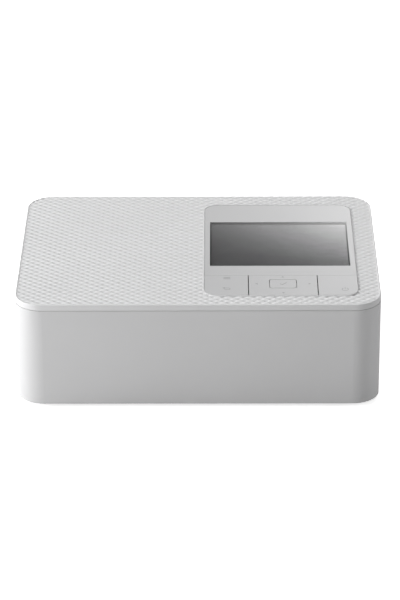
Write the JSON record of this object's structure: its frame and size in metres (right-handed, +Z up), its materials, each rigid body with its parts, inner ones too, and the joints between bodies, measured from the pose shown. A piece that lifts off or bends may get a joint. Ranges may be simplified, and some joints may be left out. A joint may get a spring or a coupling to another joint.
{
  "type": "compact photo printer",
  "caption": "Flat rounded box printer with a textured top, a flush control panel with display and keys, a full-width front door and a side door.",
  "frame": {"origin": "under the middle of the case, on the surface that the rubber feet stand on", "axes": "+X to the right seen from the front, the front faces -Y, +Z up"},
  "size_m": [0.1822, 0.133, 0.0576],
  "materials": {
    "case_plastic": "fine spark texture, white",
    "top_plastic": "moulded diamond texture, white",
    "panel_plastic": "satin light grey",
    "key_print": "marks on the keys",
    "screen_window": "glossy smoked window",
    "screen_black": "display glass",
    "black_foam": "foam",
    "black_plastic": "moulded",
    "white_plastic": "natural acetal",
    "rubber": "rubber",
    "steel": "bright",
    "sheet_steel": "zinc plated",
    "aluminium": "extruded",
    "brass": "machined",
    "ceramic": "glazed ceramic",
    "circuit": "solder mask",
    "cable": "flat cable",
    "ribbon_film": "dye film",
    "motor_steel": "black zinc"
  },
  "bodies": {
    "case": {"base": "case_plastic", "side_left": "case_plastic", "side_right": "case_plastic", "rear_panel": "case_plastic", "fascia": "case_plastic", "case_posts": "case_plastic", "top_cover": "top_plastic", "rubber_feet": "rubber", "screws": "steel", "display_bezel": "panel_plastic", "display_window": "screen_window", "screen_gasket": "black_foam", "lcd_module": "screen_black", "key_frame": "panel_plastic", "key_deck": "panel_plastic", "key_bearings": "panel_plastic", "key_board": "circuit", "main_board": "circuit", "board_sockets": "sheet_steel", "power_board": "circuit", "dc_jack": "black_plastic", "flat_cable": "cable", "chassis_left": "sheet_steel", "chassis_right": "sheet_steel", "chassis_ties": "sheet_steel", "gear_plate": "sheet_steel", "bushings": "brass", "paper_guide": "black_plastic", "pinch_holder": "black_plastic", "feed_motor": "motor_steel", "ribbon_motor": "motor_steel", "head_pivot": "steel", "head_springs": "steel"},
    "front_door": {"front_door": "case_plastic"},
    "ink_door": {"ink_door": "case_plastic"},
    "rear_flap": {"rear_flap": "case_plastic"},
    "menu_key": {"menu_key": "panel_plastic"},
    "power_key": {"power_key": "panel_plastic"},
    "nav_gimbal": {"nav_gimbal": "white_plastic"},
    "nav_pad": {"nav_pad": "panel_plastic"},
    "ok_key": {"ok_key": "panel_plastic"},
    "grip_roller": {"grip_roller": "steel", "grip_gear": "white_plastic"},
    "feed_rotor": {"feed_pinion": "brass"},
    "pickup_roller": {"pickup_shaft": "steel", "pickup_tyres": "rubber", "pickup_gear": "white_plastic"},
    "pinch_roller": {"pinch_roller": "rubber"},
    "platen_roller": {"platen_shaft": "steel", "platen_rubber": "rubber"},
    "ribbon_drive": {"ribbon_gear": "white_plastic"},
    "ribbon_rotor": {"ribbon_pinion": "brass"},
    "print_head": {"head_arm": "sheet_steel", "heat_sink": "aluminium", "head_bar": "ceramic"},
    "ink_cassette": {"cassette_ends": "black_plastic", "cassette_tubs": "black_plastic", "ribbon_sheet": "ribbon_film"},
    "supply_spool": {"supply_spool": "ribbon_film"},
    "takeup_spool": {"takeup_spool": "ribbon_film"}
  },
  "joints": [
    {"name": "front_door_hinge", "type": "hinge", "parent": "case", "child": "front_door", "pos_m": [0, -0.0615, 0.006], "axis": [1, 0, 0], "range_deg": [0, 90]},
    {"name": "ink_door_hinge", "type": "hinge", "parent": "case", "child": "ink_door", "pos_m": [0.0875, 0.024, 0.011], "axis": [0, 1, 0], "range_deg": [0, 90]},
    {"name": "rear_flap_hinge", "type": "hinge", "parent": "case", "child": "rear_flap", "pos_m": [0.018, 0.0648, 0.0304], "axis": [1, 0, 0], "range_deg": [0, 75]},
    {"name": "menu_key_rock", "type": "hinge", "parent": "case", "child": "menu_key", "pos_m": [0.01409, -0.04395, 0.0546], "axis": [1, 0, 0], "range_deg": [-2, 2], "stiffness_Nm_per_rad": 0.8},
    {"name": "power_key_press", "type": "hinge", "parent": "case", "child": "power_key", "pos_m": [0.07001, -0.0347, 0.0546], "axis": [1, 0, 0], "range_deg": [0, 1.5], "stiffness_Nm_per_rad": 0.8},
    {"name": "nav_tilt_front_back", "type": "hinge", "parent": "case", "child": "nav_gimbal", "pos_m": [0.04255, -0.0423, 0.0546], "axis": [1, 0, 0], "range_deg": [-1.2, 1.2], "stiffness_Nm_per_rad": 0.8},
    {"name": "nav_tilt_left_right", "type": "hinge", "parent": "nav_gimbal", "child": "nav_pad", "pos_m": [0.04255, -0.0423, 0.0546], "axis": [0, 1, 0], "range_deg": [-1.2, 1.2], "stiffness_Nm_per_rad": 0.8},
    {"name": "ok_key_press", "type": "slide", "parent": "nav_pad", "child": "ok_key", "axis": [0, 0, -1], "range_m": [0, 0.0005], "stiffness_N_per_m": 2500},
    {"name": "grip_roller_spin", "type": "hinge", "parent": "case", "child": "grip_roller", "pos_m": [0, -0.012, 0.02], "axis": [1, 0, 0], "continuous": true},
    {"name": "feed_rotor_spin", "type": "hinge", "parent": "case", "child": "feed_rotor", "pos_m": [0, 0.006, 0.02], "axis": [1, 0, 0], "continuous": true},
    {"name": "pickup_roller_spin", "type": "hinge", "parent": "case", "child": "pickup_roller", "pos_m": [0, -0.032, 0.03084], "axis": [1, 0, 0], "continuous": true},
    {"name": "pinch_roller_spin", "type": "hinge", "parent": "case", "child": "pinch_roller", "pos_m": [0, -0.012, 0.0273], "axis": [1, 0, 0], "continuous": true},
    {"name": "platen_roller_spin", "type": "hinge", "parent": "case", "child": "platen_roller", "pos_m": [0, 0.021, 0.019], "axis": [1, 0, 0], "continuous": true},
    {"name": "ribbon_drive_spin", "type": "hinge", "parent": "case", "child": "ribbon_drive", "pos_m": [0, 0.007, 0.0355], "axis": [1, 0, 0], "continuous": true},
    {"name": "ribbon_rotor_spin", "type": "hinge", "parent": "case", "child": "ribbon_rotor", "pos_m": [0, 0.02029, 0.03784], "axis": [1, 0, 0], "continuous": true},
    {"name": "print_head_tilt", "type": "hinge", "parent": "case", "child": "print_head", "pos_m": [0.018, 0.057, 0.0481], "axis": [1, 0, 0], "range_deg": [0, 2], "stiffness_Nm_per_rad": 8, "springref_deg": -1.72},
    {"name": "ink_cassette_slide", "type": "slide", "parent": "case", "child": "ink_cassette", "axis": [1, 0, 0], "range_m": [0, 0.0113]},
    {"name": "takeup_spool_spin", "type": "hinge", "parent": "ink_cassette", "child": "takeup_spool", "pos_m": [0, 0.007, 0.0355], "axis": [1, 0, 0], "continuous": true},
    {"name": "supply_spool_spin", "type": "hinge", "parent": "ink_cassette", "child": "supply_spool", "pos_m": [0, 0.041, 0.0355], "axis": [1, 0, 0], "continuous": true}
  ],
  "couplings": [
    {"joint": "feed_rotor_spin", "follows": "grip_roller_spin", "ratio": -4.1429},
    {"joint": "pickup_roller_spin", "follows": "grip_roller_spin", "ratio": -1.7576},
    {"joint": "pinch_roller_spin", "follows": "grip_roller_spin", "ratio": -1.3333},
    {"joint": "ribbon_rotor_spin", "follows": "ribbon_drive_spin", "ratio": -2.8571},
    {"joint": "takeup_spool_spin", "follows": "ribbon_drive_spin", "ratio": 1},
    {"joint": "supply_spool_spin", "follows": "ribbon_drive_spin", "ratio": 0.625},
    {"joint": "ink_door_hinge", "follows": "ink_cassette_slide", "rad_per_m": 139}
  ]
}
